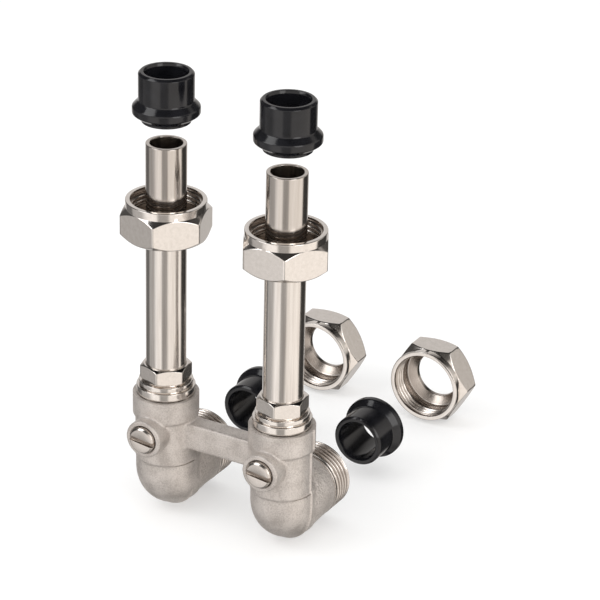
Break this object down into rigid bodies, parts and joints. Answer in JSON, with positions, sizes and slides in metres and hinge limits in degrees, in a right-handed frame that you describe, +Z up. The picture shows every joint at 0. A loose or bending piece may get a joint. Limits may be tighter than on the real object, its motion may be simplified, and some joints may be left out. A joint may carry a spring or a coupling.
{
  "type": "angled radiator connection fitting",
  "caption": "Double angled radiator connection block with shut-off balls turned from the front, upright pipes, gland nuts, union nuts and conical rubber seals.",
  "frame": {"origin": "midway between the two outlet mouths, on the plane of their end faces", "axes": "+Z up along the pipes, +Y to the rear along the outlets, +X from the left side to the right side seen from the front"},
  "size_m": [0.0846, 0.1462, 0.1752],
  "materials": {
    "nickel_casting": "satin",
    "nickel_turned": "satin",
    "bright_pipe": "polished",
    "black_rubber": "satin",
    "seal_plastic": "satin",
    "ball_chrome": "polished",
    "plain_brass": "satin"
  },
  "bodies": {
    "fitting": {"valve_block": "nickel_casting", "left_spindle_washer": "seal_plastic", "left_upper_ball_seat": "seal_plastic", "left_lower_ball_seat": "seal_plastic", "left_seat_washer": "black_rubber", "left_connection_pipe": "bright_pipe", "left_pipe_o_ring": "black_rubber", "left_clamp_ring": "plain_brass", "left_gland_nut": "nickel_turned", "right_spindle_washer": "seal_plastic", "right_upper_ball_seat": "seal_plastic", "right_lower_ball_seat": "seal_plastic", "right_seat_washer": "black_rubber", "right_connection_pipe": "bright_pipe", "right_pipe_o_ring": "black_rubber", "right_clamp_ring": "plain_brass", "right_gland_nut": "nickel_turned"},
    "left_stem": {"left_spindle": "nickel_turned", "left_spindle_o_ring_inner": "black_rubber", "left_spindle_o_ring_outer": "black_rubber", "left_valve_ball": "ball_chrome"},
    "left_upper_nut": {"left_pipe_nut": "nickel_turned"},
    "left_upper_seal": {"left_pipe_seal": "black_rubber"},
    "left_rear_seal": {"left_outlet_seal": "black_rubber"},
    "left_rear_nut": {"left_outlet_nut": "nickel_turned"},
    "right_stem": {"right_spindle": "nickel_turned", "right_spindle_o_ring_inner": "black_rubber", "right_spindle_o_ring_outer": "black_rubber", "right_valve_ball": "ball_chrome"},
    "right_upper_nut": {"right_pipe_nut": "nickel_turned"},
    "right_upper_seal": {"right_pipe_seal": "black_rubber"},
    "right_rear_seal": {"right_outlet_seal": "black_rubber"},
    "right_rear_nut": {"right_outlet_nut": "nickel_turned"}
  },
  "joints": [
    {"name": "left_spindle_turn", "type": "hinge", "parent": "fitting", "child": "left_stem", "pos_m": [-0.025, -0.0292, 0.0201], "axis": [0, 1, 0], "range_deg": [-7, 83]},
    {"name": "left_pipe_nut_slide", "type": "slide", "parent": "fitting", "child": "left_upper_nut", "axis": [0, 0, 1], "range_m": [-0.051, 0.0161]},
    {"name": "left_pipe_seal_slide", "type": "slide", "parent": "fitting", "child": "left_upper_seal", "axis": [0, 0, -1], "range_m": [0, 0.0272]},
    {"name": "left_outlet_seal_slide", "type": "slide", "parent": "fitting", "child": "left_rear_seal", "axis": [0, -1, 0], "range_m": [0, 0.04215]},
    {"name": "left_outlet_nut_slide", "type": "slide", "parent": "left_rear_seal", "child": "left_rear_nut", "axis": [0, -1, 0], "range_m": [0, 0.0499]},
    {"name": "right_spindle_turn", "type": "hinge", "parent": "fitting", "child": "right_stem", "pos_m": [0.025, -0.0292, 0.0201], "axis": [0, 1, 0], "range_deg": [-7, 83]},
    {"name": "right_pipe_nut_slide", "type": "slide", "parent": "fitting", "child": "right_upper_nut", "axis": [0, 0, 1], "range_m": [-0.051, 0.0161]},
    {"name": "right_pipe_seal_slide", "type": "slide", "parent": "fitting", "child": "right_upper_seal", "axis": [0, 0, -1], "range_m": [0, 0.0272]},
    {"name": "right_outlet_seal_slide", "type": "slide", "parent": "fitting", "child": "right_rear_seal", "axis": [0, -1, 0], "range_m": [0, 0.04215]},
    {"name": "right_outlet_nut_slide", "type": "slide", "parent": "right_rear_seal", "child": "right_rear_nut", "axis": [0, -1, 0], "range_m": [0, 0.0499]}
  ]
}
